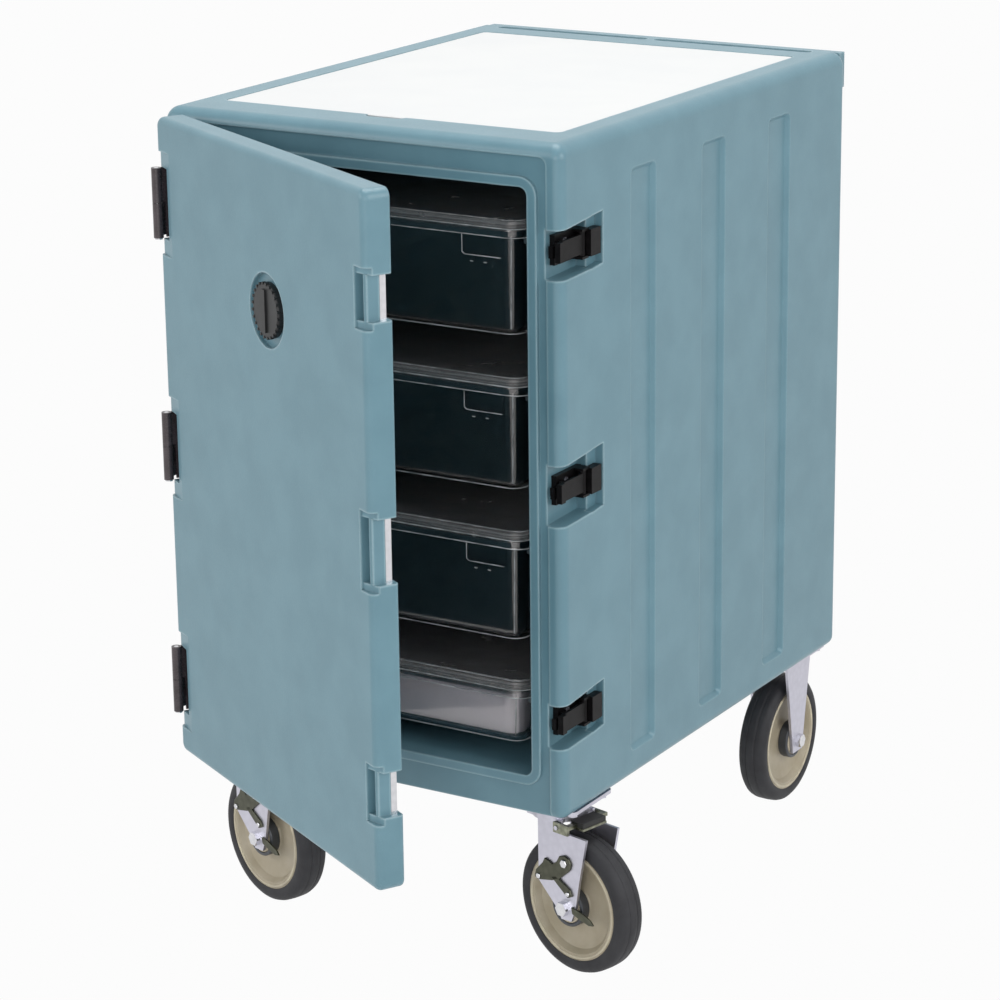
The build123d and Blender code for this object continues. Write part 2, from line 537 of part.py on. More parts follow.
# Lift-off hinges: the lower knuckle and pin stay on the body, the upper knuckle is on the door
for name, z in zip(("top", "middle", "bottom"), HINGE_Z):
    low = z - HINGE_H / 4 - 0.2
    high = z + HINGE_H / 4 + 0.2
    half = HINGE_H / 2 - 0.4
    with BuildPart(CART) as body_leaf:
        with Locations((BODY_SEAT_X - LEAF_T / 2, -HALF_D + BODY_LEAF_L / 2, z)):
            Box(LEAF_T, BODY_LEAF_L, HINGE_H)
        with Locations((BODY_SEAT_X - LEAF_T / 2, (PIVOT_Y - HALF_D) / 2, low)):
            Box(LEAF_T, -HALF_D - PIVOT_Y, half)
        with Locations((PIVOT_X, PIVOT_Y, low)):
            Cylinder(KNUCKLE_R, half)
            Cylinder(PIN_R, half, mode=Mode.SUBTRACT)
        with Locations(*[(BODY_SEAT_X - LEAF_T / 2, -HALF_D + 26, z + dz) for dz in HINGE_SCREWS]):
            Cylinder(2.1, LEAF_T + 2, rotation=(0, 90, 0), mode=Mode.SUBTRACT)
    body_leaf.part.label = "hinge_body_leaf_" + name
    export_step(body_leaf.part, "parts/hinge_body_leaf_" + name + ".step")
    with BuildPart(DOOR) as door_leaf:
        with Locations((DOOR_SEAT_X - LEAF_T / 2, DOOR_LEAF_Y, z)):
            Box(LEAF_T, DOOR_LEAF_L, HINGE_H)
        with Locations((DOOR_SEAT_X - LEAF_T / 2, (PIVOT_Y + DOOR_LEAF_Y) / 2, high)):
            Box(LEAF_T, DOOR_LEAF_Y - PIVOT_Y, half)
        with Locations((PIVOT_X, PIVOT_Y, high)):
            Cylinder(KNUCKLE_R, half)
            Cylinder(PIN_R + RUN_GAP, half, mode=Mode.SUBTRACT)
        with Locations(*[(DOOR_SEAT_X - LEAF_T / 2, DOOR_LEAF_Y, z + dz) for dz in HINGE_SCREWS]):
            Cylinder(2.1, LEAF_T + 2, rotation=(0, 90, 0), mode=Mode.SUBTRACT)
    door_leaf.part.label = "hinge_door_leaf_" + name
    export_step(door_leaf.part, "parts/hinge_door_leaf_" + name + ".step")

with BuildPart(CART) as hinge_pins:
    for z in HINGE_Z:
        with Locations((PIVOT_X, PIVOT_Y, z)):
            Cylinder(PIN_R, HINGE_H)
        with Locations((PIVOT_X, PIVOT_Y, z - HINGE_H / 2 - 1)):
            Cylinder(PIN_R + 2, 2)
hinge_pins.part.label = "hinge_pins"
export_step(hinge_pins.part, "parts/hinge_pins.step")

# Screws of the body leaves and the latch bases
with BuildPart(CART) as body_screws:
    for z in HINGE_Z:
        for dz in HINGE_SCREWS:
            with Locations((BODY_SEAT_X + 4.6, -HALF_D + 26, z + dz)):
                Cylinder(1.95, 14.2, rotation=(0, 90, 0))
            with Locations((BODY_SEAT_X - LEAF_T - 0.9, -HALF_D + 26, z + dz)):
                Cylinder(4, 1.8, rotation=(0, 90, 0))
    for z in LATCH_Z:
        for dz in (-9, 9):
            with Locations((LATCH_X - 2, LATCH_SCREW_Y, z + dz)):
                Cylinder(1.85, 18, rotation=(0, 90, 0))
            with Locations((LATCH_X + LATCH_BASE_T + 0.9, LATCH_SCREW_Y, z + dz)):
                Cylinder(3.4, 1.8, rotation=(0, 90, 0))
body_screws.part.label = "body_screws"
export_step(body_screws.part, "parts/body_screws.step")

with BuildPart(DOOR) as door_screws:
    for z in HINGE_Z:
        for dz in HINGE_SCREWS:
            with Locations((DOOR_SEAT_X + 3.5, DOOR_LEAF_Y, z + dz)):
                Cylinder(1.95, 12, rotation=(0, 90, 0))
            with Locations((DOOR_SEAT_X - LEAF_T - 0.9, DOOR_LEAF_Y, z + dz)):
                Cylinder(4, 1.8, rotation=(0, 90, 0))
door_screws.part.label = "door_screws"
export_step(door_screws.part, "parts/door_screws.step")

# Draw latches: base with its end block, lever on the base, hook on the lever
with BuildPart(CART) as latch_bases:
    for z in LATCH_Z:
        with Locations((LATCH_X + LATCH_BASE_T / 2, -HALF_D + 47, z)):
            Box(LATCH_BASE_T, 62, 38)
        with Locations((LEVER_X - 1, LEVER_Y, z + 17.5), (LEVER_X - 1, LEVER_Y, z - 17.5)):
            Box(15, 16, 3)
        with Locations((LATCH_X + 16, -HALF_D + POCKET_FRONT - 2.75, z)):
            Box(18, 5.5, 34)
        with Locations((HALF_W - POCKET_STEP + 5.5, -HALF_D + POCKET_FRONT + 8, z)):
            Box(11, 22, 34)
        with Locations((LEVER_X, LEVER_Y, z)):
            Cylinder(2, 36)
        with Locations(*[(LATCH_X + LATCH_BASE_T / 2, LATCH_SCREW_Y, z + dz) for dz in (-9, 9)]):
            Cylinder(2, LATCH_BASE_T + 2, rotation=(0, 90, 0), mode=Mode.SUBTRACT)
latch_bases.part.label = "latch_bases"
export_step(latch_bases.part, "parts/latch_bases.step")

for name, z in zip(("top", "middle", "bottom"), LATCH_Z):
    with BuildPart(CART) as latch_lever:
        with Locations((LEVER_X, LEVER_Y, z)):
            Cylinder(5, 31)
        with Locations((LEVER_X + 2, LEVER_Y - 32, z)):
            Box(4, 64, 25)
        with Locations((LEVER_X + 5, LEVER_Y - 59, z)):
            Box(5, 10, 25)
        with Locations((LEVER_X - 2, HOOK_Y, z + 10), (LEVER_X - 2, HOOK_Y, z - 10)):
            Box(6, 7, 4)
        with Locations((HOOK_X, HOOK_Y, z)):
            Cylinder(1.5, 22)
        with Locations((LEVER_X, LEVER_Y, z)):
            Cylinder(2 + RUN_GAP, 32, mode=Mode.SUBTRACT)
    latch_lever.part.label = "latch_lever_" + name
    export_step(latch_lever.part, "parts/latch_lever_" + name + ".step")
    with BuildPart(CART) as latch_hook:
        with Locations((HOOK_X, HOOK_Y, z)):
            Cylinder(2.3, 15)
        with Locations((HOOK_X - 1.2, HOOK_Y - 9.5, z)):
            Box(2, 19, 15)
        with Locations((HOOK_X - 3.7, HOOK_Y - 18, z)):
            Box(5, 2, 15)
        with Locations((HOOK_X, HOOK_Y, z)):
            Cylinder(1.5 + RUN_GAP, 16, mode=Mode.SUBTRACT)
    latch_hook.part.label = "latch_hook_" + name
    export_step(latch_hook.part, "parts/latch_hook_" + name + ".step")

# Caster wheels are alike; the front ones swivel and have a brake, the rear ones are rigid
FORK_TOP = BASE - PLATE_T - 11.5
LEG_IN = TYRE_W / 2 + 7.0
HUB_HALF = LEG_IN - 0.5
axle_plan = Plane(origin=(SWIVEL_TRAIL, 0, WHEEL_R), x_dir=(1, 0, 0), z_dir=(0, 0, 1))
for side, sign, turn in (("left", -1, LEFT_SWIVEL), ("right", 1, RIGHT_SWIVEL)):
    kx = sign * FRONT_CASTER_X
    ky = FRONT_CASTER_Y
    swivel = Plane(
        origin=(ORIGIN_X + kx, ORIGIN_Y + ky, 0),
        x_dir=(cos(radians(turn)), sin(radians(turn)), 0),
        z_dir=(0, 0, 1),
    )
    upright = Plane(swivel.location * Plane(origin=(0, 0, 0), x_dir=(1, 0, 0), z_dir=(0, -1, 0)).location)
    with BuildPart(CART) as top_plate:
        with Locations((kx, ky, BASE - PLATE_T / 2)):
            Box(PLATE_W, PLATE_W, PLATE_T)
        fillet(top_plate.edges().filter_by(Axis.Z), 8)
        with Locations((kx, ky, BASE - PLATE_T - 4)):
            Cylinder(31, 8)
        with Locations((kx, ky, BASE - PLATE_T - 13)):
            Cylinder(7, 26)
        with Locations((kx, ky, FORK_TOP - 11.5)):
            Cylinder(10, 4)
        with Locations(*[(kx + dx, ky + dy, BASE - PLATE_T / 2) for dx, dy in BOLT_PLACES]):
            Cylinder(4, PLATE_T + 2, mode=Mode.SUBTRACT)
    top_plate.part.label = "caster_plate_front_" + side
    export_step(top_plate.part, "parts/caster_plate_front_" + side + ".step")
    with BuildPart(swivel) as fork:
        with Locations((0, 0, FORK_TOP - 3)):
            Cylinder(37, 12)
        with Locations((0, 0, FORK_TOP - 6.5)):
            Box(60, 2 * LEG_IN + 2 * LEG_T, 5)
        for y in (LEG_IN, -LEG_IN - LEG_T):
            with BuildSketch(upright.offset(y)):
                with BuildLine():
                    Polyline(
                        (-10, FORK_TOP - 4),
                        (SWIVEL_TRAIL - 6, FORK_TOP - 4),
                        (SWIVEL_TRAIL - 2, FORK_TOP - 19.5),
                        (SWIVEL_TRAIL + 39, FORK_TOP - 19.5),
                        (SWIVEL_TRAIL + 26, WHEEL_R + 40),
                        (SWIVEL_TRAIL + 20, WHEEL_R + 4),
                        (SWIVEL_TRAIL + 12, WHEEL_R - 16),
                        (SWIVEL_TRAIL - 6, WHEEL_R - 17),
                        (SWIVEL_TRAIL - 12, WHEEL_R - 6),
                        (-9, WHEEL_R + 27),
                        close=True,
                    )
                make_face()
            extrude(amount=LEG_T)
        for y in (LEG_IN + LEG_T + 3, -LEG_IN - LEG_T - 3):
            with Locations((28, y, FORK_TOP - 13)):
                Cylinder(3, 6.4, rotation=(90, 0, 0))
        with Locations((0, 0, FORK_TOP - 4)):
            Cylinder(7 + RUN_GAP, 40, mode=Mode.SUBTRACT)
        with Locations((SWIVEL_TRAIL, 0, WHEEL_R)):
            Cylinder(AXLE_D / 2, 100, rotation=(90, 0, 0), mode=Mode.SUBTRACT)
    fork.part.label = "swivel_fork_" + side
    export_step(fork.part, "parts/swivel_fork_" + side + ".step")
    with BuildPart(swivel) as axle:
        with Locations((SWIVEL_TRAIL, 0, WHEEL_R)):
            Cylinder(AXLE_D / 2, 2 * LEG_IN + 2 * LEG_T + 16, rotation=(90, 0, 0))
        for y in (LEG_IN + LEG_T + 4, -LEG_IN - LEG_T - 4):
            with BuildSketch(upright.offset(-y - 4)):
                with Locations((SWIVEL_TRAIL, WHEEL_R)):
                    RegularPolygon(10, 6)
            extrude(amount=8)
    axle.part.label = "axle_front_" + side
    export_step(axle.part, "parts/axle_front_" + side + ".step")
    with BuildPart(swivel) as wheel:
        with BuildSketch(Plane(swivel.location * axle_plan.location)):
            with BuildLine():
                Polyline(
                    (AXLE_D / 2 + RUN_GAP, -HUB_HALF),
                    (22, -HUB_HALF),
                    (24, -9),
                    (RIM_R - 15, -9),
                    (RIM_R - 9, -TYRE_W / 2 + 2),
                    (RIM_R, -TYRE_W / 2 + 2),
                    (RIM_R, TYRE_W / 2 - 2),
                    (RIM_R - 9, TYRE_W / 2 - 2),
                    (RIM_R - 15, 9),
                    (24, 9),
                    (22, HUB_HALF),
                    (AXLE_D / 2 + RUN_GAP, HUB_HALF),
                    close=True,
                )
            make_face()
        revolve(axis=Axis(swivel.from_local_coords(Vector(SWIVEL_TRAIL, 0, WHEEL_R)), swivel.y_dir))
    wheel.part.label = "wheel_front_" + side
    export_step(wheel.part, "parts/wheel_front_" + side + ".step")
    with BuildPart(swivel) as tyre:
        with Locations((SWIVEL_TRAIL, 0, WHEEL_R)):
            Cylinder(WHEEL_R, TYRE_W, rotation=(90, 0, 0))
        fillet(tyre.edges().filter_by(GeomType.CIRCLE), 7)
        with Locations((SWIVEL_TRAIL, 0, WHEEL_R)):
            Cylinder(RIM_R, TYRE_W + 2, rotation=(90, 0, 0), mode=Mode.SUBTRACT)
    tyre.part.label = "tyre_front_" + side
    export_step(tyre.part, "parts/tyre_front_" + side + ".step")
    with BuildPart(swivel) as brake:
        arm_y = LEG_IN + LEG_T + 2.5
        with Locations((35, arm_y, FORK_TOP - 13), (35, -arm_y, FORK_TOP - 13)):
            Box(26, 4, 14)
        with Locations((47, 0, FORK_TOP - 8.5)):
            Box(8, 2 * LEG_IN + 2 * LEG_T + 9, 5)
        with Locations((51, 0, FORK_TOP - 12)):
            Box(24, 44, 3)
        with Locations((51, 0, FORK_TOP - 7)):
            Box(22, 42, 7)
        with Locations((28, 0, FORK_TOP - 13)):
            Cylinder(3 + RUN_GAP, 100, rotation=(90, 0, 0), mode=Mode.SUBTRACT)
    brake.part.label = "brake_pedal_" + side
    export_step(brake.part, "parts/brake_pedal_" + side + ".step")

for side, sign in (("left", -1), ("right", 1)):
    kx = sign * REAR_CASTER_X
    ky = REAR_CASTER_Y
    with BuildPart(CART) as bracket:
        with Locations((kx, ky, BASE - PLATE_T / 2)):
            Box(PLATE_W, PLATE_W, PLATE_T)
        fillet(bracket.edges().filter_by(Axis.Z), 8)
        for x in (kx - LEG_IN - LEG_T, kx + LEG_IN):
            with BuildSketch(right_plane(x)):
                with BuildLine():
                    Polyline(
                        (ky - 40, BASE - PLATE_T),
                        (ky + 40, BASE - PLATE_T),
                        (ky + 15, WHEEL_R - 17),
                        (ky - 15, WHEEL_R - 17),
                        close=True,
                    )
                make_face()
            extrude(amount=LEG_T)
        with Locations((kx, ky, WHEEL_R)):
            Cylinder(AXLE_D / 2, 100, rotation=(0, 90, 0), mode=Mode.SUBTRACT)
        with Locations(*[(kx + dx, ky + dy, BASE - PLATE_T / 2) for dx, dy in BOLT_PLACES]):
            Cylinder(4, PLATE_T + 2, mode=Mode.SUBTRACT)
    bracket.part.label = "caster_bracket_rear_" + side
    export_step(bracket.part, "parts/caster_bracket_rear_" + side + ".step")
    with BuildPart(CART) as wheel:
        hub = Plane(origin=(ORIGIN_X + kx, ORIGIN_Y + ky, WHEEL_R), x_dir=(0, 1, 0), z_dir=(0, 0, -1))
        with BuildSketch(hub):
            with BuildLine():
                Polyline(
                    (AXLE_D / 2 + RUN_GAP, -HUB_HALF),
                    (22, -HUB_HALF),
                    (24, -9),
                    (RIM_R - 15, -9),
                    (RIM_R - 9, -TYRE_W / 2 + 2),
                    (RIM_R, -TYRE_W / 2 + 2),
                    (RIM_R, TYRE_W / 2 - 2),
                    (RIM_R - 9, TYRE_W / 2 - 2),
                    (RIM_R - 15, 9),
                    (24, 9),
                    (22, HUB_HALF),
                    (AXLE_D / 2 + RUN_GAP, HUB_HALF),
                    close=True,
                )
            make_face()
        revolve(axis=Axis((ORIGIN_X + kx, ORIGIN_Y + ky, WHEEL_R), (1, 0, 0)))
    wheel.part.label = "wheel_rear_" + side
    export_step(wheel.part, "parts/wheel_rear_" + side + ".step")
    with BuildPart(CART) as tyre:
        with Locations((kx, ky, WHEEL_R)):
            Cylinder(WHEEL_R, TYRE_W, rotation=(0, 90, 0))
        fillet(tyre.edges().filter_by(GeomType.CIRCLE), 7)
        with Locations((kx, ky, WHEEL_R)):
            Cylinder(RIM_R, TYRE_W + 2, rotation=(0, 90, 0), mode=Mode.SUBTRACT)
    tyre.part.label = "tyre_rear_" + side
    export_step(tyre.part, "parts/tyre_rear_" + side + ".step")

with BuildPart(CART) as rear_axles:
    for sign in (-1, 1):
        with Locations((sign * REAR_CASTER_X, REAR_CASTER_Y, WHEEL_R)):
            Cylinder(AXLE_D / 2, 2 * LEG_IN + 2 * LEG_T + 16, rotation=(0, 90, 0))
        for x in (LEG_IN + LEG_T, -LEG_IN - LEG_T - 8):
            with BuildSketch(right_plane(sign * REAR_CASTER_X + x)):
                with Locations((REAR_CASTER_Y, WHEEL_R)):
                    RegularPolygon(10, 6)
            extrude(amount=8)
rear_axles.part.label = "axles_rear"
export_step(rear_axles.part, "parts/axles_rear.step")

# Hex bolts that hold all the caster plates
with BuildPart(CART) as caster_bolts:
    for px, py in ((FRONT_CASTER_X, FRONT_CASTER_Y), (REAR_CASTER_X, REAR_CASTER_Y)):
        for side in (-1, 1):
            for dx, dy in BOLT_PLACES:
                with Locations((side * px + dx, py + dy, BASE - PLATE_T / 2 + 6)):
                    Cylinder(3.9, PLATE_T + 17)
                with BuildSketch(level(BASE - PLATE_T - 5)):
                    with Locations((side * px + dx, py + dy)):
                        RegularPolygon(6.8, 6)
                extrude(amount=5)
caster_bolts.part.label = "caster_bolts"
export_step(caster_bolts.part, "parts/caster_bolts.step")
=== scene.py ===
import json
import math

import bmesh
import bpy
from mathutils import Matrix, Vector


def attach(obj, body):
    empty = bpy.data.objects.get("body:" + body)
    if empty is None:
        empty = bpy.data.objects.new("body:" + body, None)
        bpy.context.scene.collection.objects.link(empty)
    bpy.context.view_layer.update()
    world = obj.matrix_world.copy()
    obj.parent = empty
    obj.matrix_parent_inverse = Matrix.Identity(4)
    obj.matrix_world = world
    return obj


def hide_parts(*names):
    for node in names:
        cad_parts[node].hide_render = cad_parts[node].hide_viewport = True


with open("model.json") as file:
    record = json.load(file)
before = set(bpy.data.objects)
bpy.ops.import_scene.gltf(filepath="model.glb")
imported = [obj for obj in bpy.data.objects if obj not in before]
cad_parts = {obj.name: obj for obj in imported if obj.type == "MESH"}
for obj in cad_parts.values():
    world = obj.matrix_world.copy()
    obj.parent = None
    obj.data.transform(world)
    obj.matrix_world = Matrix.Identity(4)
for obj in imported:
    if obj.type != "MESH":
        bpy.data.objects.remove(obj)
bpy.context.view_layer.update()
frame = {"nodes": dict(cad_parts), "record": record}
nodes = frame["nodes"]

MM = 0.001
SIDES = (("left", -1), ("right", 1))

# The middle of the cart's body in the shared frame, in millimetres
CART_X = -36.9356
CART_Y = 137.7566

# Door and its vent, in millimetres from the middle of the body
PIVOT_X = -278.0
PIVOT_Y = -445.0
DOOR_AJAR = 29.0
DOOR_OUT = -442.0
VENT_X = 30.0
VENT_Z = 916.0

# Casters
FRONT_CASTER_X = 242.0
FRONT_CASTER_Y = -316.0
REAR_CASTER_X = 234.0
REAR_CASTER_Y = 344.0
SWIVEL_TRAIL = 38.0
SWIVELS = {"left": -20.0, "right": -14.0}
WHEEL_R = 95.0
RIM_R = 76.0
TYRE_HALF = 21.0
LEG_OUT = 32.0

# Brake: pad on the pedal, linkage and bolts as outlines on the leg's outer face
PAD_LOW = 209.1
PAD_HALF = 21.2
LINK_THICK = 3.0
BOLT_HIGH = 2.2
LINK_SOFT = 0.8
BOLT_SOFT = 0.7
BRAKE_ARM = [
    (-14, 126), (-8, 123), (18, 129), (30, 134), (44, 146), (50, 152), (52, 160), (48, 167),
    (40, 170), (31, 167), (26, 158), (18, 152), (12, 155), (4, 157), (1, 150), (-12, 136),
]
BRAKE_LINK = [(16, 134), (24, 138), (50, 124), (54, 116), (46, 112), (38, 118)]
BRAKE_TAB = [(52, 101), (66, 99), (86, 92), (92, 86), (84, 84), (66, 88), (54, 92)]
BRAKE_BOLTS = [(40, 159, 6.0), (-6, 129, 4.0), (47, 118, 3.4)]

# Food boxes
BOX_HALF = 228.5
BOX_FRONT = -378.0
BOX_BACK = 282.0
BOX_LIDS = (1007.0, 805.5, 604.0, 402.5)
BOX_DEEP = (150.0, 150.0, 150.0, 89.0)
LID_BAND = 9.0
RIM_BAND = 11.0
RIM_IN = 11.5
RIM_CORNER = 24.0
LID_STEP = 9.0
LID_CORNER = 18.0
FOOT_IN = 6.0
FOOT_CORNER = 18.0
FOOT_UP = 3.0
LABELLED_FROM = 100.0
RIM_LINE = 0.7
CORNER_LINE = 0.8

# Vent cap
RIB_COUNT = 24
RIB_RING = 34.0
RIB_R = 2.0
CAP_PROUD = 2.4

# Camera, in metres and degrees; the photograph is taken to be 1000 x 1000
CAMERA_PLACE = (2.23229, -3.65996, 1.85628)
CAMERA_AZIMUTH = 31.264
CAMERA_ELEVATION = 16.816
CAMERA_ROLL = -0.692
CAMERA_LENS = 118.78
CAMERA_SENSOR = 36.0

# Colours in sRGB
SLATE_BLUE = "#648996"
SLATE_DEEP = "#5e8390"
# Painted highlight tone for the body's convex rims
SLATE_RIM_HIGHLIGHT = "#9db9c2"
BOARD_WHITE = "#dbdcdb"
BOARD_COOL = "#d5d7d8"
FOAM_CREAM = "#e4d8b0"
FOAM_PIT_SHADE = "#d3c495"
# Ledges painted dark as the shade of the bay, in two tones
LEDGE_PAINTED_SHADE = "#2f383c"
LEDGE_PAINTED_SHADE_PALE = "#3d474b"
CLEAR_TINT = "#f0eeee"
TRAY_WHITE = "#f2eff5"
TRAY_SHADE = "#e4dfe8"
GASKET_BLACK = "#26282a"
GASKET_GREY = "#303336"
CAP_BLACK = "#1e1f20"
CAP_GREY = "#2a2b2c"
NYLON_BLACK = "#0d0c0d"
NYLON_GREY = "#161516"
HINGE_BROWN = "#2b2023"
HINGE_ROSE = "#40363a"
PLATED_BRIGHT = "#dcdcdf"
PLATED_DULL = "#cfcfd3"
ZINC_LILAC = "#cdccd7"
ZINC_GREY = "#c3c2cd"
WHEEL_GREIGE = "#b3a995"
WHEEL_SHADE = "#a1967f"
# Painted highlight tone for the wheel's rim bead
BEAD_HIGHLIGHT_CREAM = "#cfc6ac"
TYRE_GREY = "#343437"
TYRE_DARK = "#29292c"
PEDAL_BLACK = "#1b1b1c"
PEDAL_DUST = "#2b2b2a"
OLIVE_STEEL = "#5f6054"
OLIVE_DARK = "#4c4d43"
OLIVE_PALE = "#a3a592"
GUARD_SLATE = "#3f4248"
GUARD_DARK = "#33363b"
# Painted highlight colours for the pale lines along the clear boxes' edges
EDGE_HIGHLIGHT = "#c3c6c8"
EDGE_HIGHLIGHT_DIM = "#55585a"
FLOOR_WHITE = "#fcfcfc"
FLOOR_PALE = "#f4f4f4"

# Surface of the body's moulding, in millimetres: the width of the painted highlight on its convex rims, and
# the soft turn of its shading at edges
RIM_HIGHLIGHT_WIDTH = 3.0
SOFT_EDGE = 3.0

# World and lamps: name, place, aim, width and height in metres, and watts
WORLD_GLOW = 0.42
LAMPS = [
    ("key_left", (-3.2, -3.6, 2.4), (0, 0, 0.7), 2.2, 2.2, 60),
    ("fill_front", (1.7, -4.2, 1.6), (0, 0, 0.6), 1.8, 1.8, 46),
    ("fill_right", (4.2, -0.6, 2.4), (0, 0, 0.7), 2.4, 2.4, 68),
    ("top_light", (0.0, 0.4, 4.2), (0, 0, 1.0), 2.5, 2.5, 85),
]


def linear(colour):
    """The RGBA that Blender wants for an sRGB hex colour."""
    parts = [int(colour[i:i + 2], 16) / 255 for i in (1, 3, 5)]
    return tuple(c / 12.92 if c <= 0.04045 else ((c + 0.055) / 1.055) ** 2.4 for c in parts) + (1.0,)


def add(tree, kind, inputs=None, **settings):
    """Adds one shader node with its settings, and its inputs set to values or linked to sockets."""
    made = tree.nodes.new("ShaderNode" + kind)
    for name, value in settings.items():
        setattr(made, name, value)
    for name, value in (inputs or {}).items():
        if isinstance(value, bpy.types.NodeSocket):
            tree.links.new(value, made.inputs[name])
        else:
            made.inputs[name].default_value = value
    return made


def new_material(name):
    """An empty material with its tree, and the object's own coordinates in metres."""
    made = bpy.data.materials.new(name)
    made.use_nodes = True
    made.node_tree.nodes.clear()
    tree = made.node_tree
    place = add(tree, "TexCoord").outputs["Object"]
    return made, tree, place


def close_material(tree, surface):
    """Links the finished shader to the material's output."""
    tree.links.new(surface, add(tree, "OutputMaterial").inputs["Surface"])


def per_metre(size_mm):
    """The texture scale whose cells are size_mm across."""
    return 1000.0 / size_mm


def moulded(name, colour, second, roughness, grain_mm, grain_high_mm, cloud_mm=90, specular=0.5):
    """Moulded plastic or rubber: two close tones in soft clouds, and a fine grain in the surface."""
    made, tree, place = new_material(name)
    clouds = add(tree, "TexNoise", {"Vector": place, "Scale": per_metre(cloud_mm), "Detail": 4.0})
    spread = add(tree, "MapRange", {"Value": clouds.outputs["Fac"], "From Min": 0.32, "From Max": 0.68})
    tones = add(tree, "Mix", {"Factor": spread.outputs["Result"], "A": linear(colour), "B": linear(second)},
                data_type="RGBA")
    grain = add(tree, "TexNoise", {"Vector": place, "Scale": per_metre(grain_mm), "Detail": 2.0})
    pebble = add(tree, "Bump", {"Height": grain.outputs["Fac"], "Distance": grain_high_mm * MM,
                                "Strength": 1.0})
    gloss = add(tree, "MapRange", {"Value": grain.outputs["Fac"], "To Min": roughness - 0.07,
                                   "To Max": roughness + 0.07})
    shader = add(tree, "BsdfPrincipled", {"Base Color": tones.outputs["Result"], "IOR": 1.5,
                                          "Specular IOR Level": specular,
                                          "Roughness": gloss.outputs["Result"],
                                          "Normal": pebble.outputs["Normal"]})
    close_material(tree, shader.outputs["BSDF"])
    return made


def rotomoulded_polyethylene():
    """Rotationally moulded polyethylene, slate blue: an orange-peel skin with a dull soft gloss, drifts
    of tone where the powder melted unevenly, a painted highlight that pales the convex rims, and a ripple
    where the walls cooled."""
    made, tree, place = new_material("rotomoulded_polyethylene")
    drift = add(tree, "TexNoise", {"Vector": place, "Scale": per_metre(60), "Detail": 6.0})
    spread = add(tree, "MapRange", {"Value": drift.outputs["Fac"], "From Min": 0.36, "From Max": 0.64})
    tones = add(tree, "Mix", {"Factor": spread.outputs["Result"], "A": linear(SLATE_BLUE),
                              "B": linear(SLATE_DEEP)}, data_type="RGBA")
    # Painted highlight: the outer convex rims are mixed towards a paler slate, as where they catch light
    rims = add(tree, "AmbientOcclusion", {"Distance": RIM_HIGHLIGHT_WIDTH * MM}, inside=True, only_local=True,
               samples=4)
    rim_highlight = add(tree, "MapRange", {"Value": rims.outputs["AO"], "From Min": 0.95, "From Max": 0.55,
                                    "To Max": 0.8})
    with_rim_highlight = add(tree, "Mix", {"Factor": rim_highlight.outputs["Result"], "A": tones.outputs["Result"],
                             "B": linear(SLATE_RIM_HIGHLIGHT)}, data_type="RGBA")
    # The mould leaves no sharp edge, so the shading turns softly there
    soft = add(tree, "Bevel", {"Radius": SOFT_EDGE * MM}, samples=4)
    # Orange peel of a rotational mould, drawn at 2.4 mm so that it shows
    peel = add(tree, "TexNoise", {"Vector": place, "Scale": per_metre(2.4), "Detail": 2.0})
    slow = add(tree, "TexNoise", {"Vector": place, "Scale": per_metre(75), "Detail": 1.0})
    ripple = add(tree, "Bump", {"Height": slow.outputs["Fac"], "Distance": 0.9 * MM, "Strength": 0.6,
                                "Normal": soft.outputs["Normal"]})
    pebble = add(tree, "Bump", {"Height": peel.outputs["Fac"], "Distance": 0.16 * MM, "Strength": 0.8,
                                "Normal": ripple.outputs["Normal"]})
    gloss = add(tree, "MapRange", {"Value": peel.outputs["Fac"], "To Min": 0.28, "To Max": 0.42})
    shader = add(tree, "BsdfPrincipled", {"Base Color": with_rim_highlight.outputs["Result"], "IOR": 1.51,
                                          "Roughness": gloss.outputs["Result"],
                                          "Normal": pebble.outputs["Normal"]})
    close_material(tree, shader.outputs["BSDF"])
    return made


def polyurethane_foam():
    """Polyurethane foam, foamed in place: cream closed cells about 1.5 mm across, matt, the pit of each cell
    painted darker as shade.
    """
    made, tree, place = new_material("polyurethane_foam")
    cells = add(tree, "TexVoronoi", {"Vector": place, "Scale": per_metre(1.5)})
    # Painted shade: the pit at the middle of each cell is coloured darker
    tones = add(tree, "Mix", {"Factor": cells.outputs["Distance"], "A": linear(FOAM_PIT_SHADE),
                              "B": linear(FOAM_CREAM)}, data_type="RGBA")
    pits = add(tree, "Bump", {"Height": cells.outputs["Distance"], "Distance": 0.4 * MM, "Strength": 1.0})
    shader = add(tree, "BsdfPrincipled", {"Base Color": tones.outputs["Result"], "IOR": 1.5,
                                          "Roughness": 0.9, "Normal": pits.outputs["Normal"]})
    close_material(tree, shader.outputs["BSDF"])
    return made


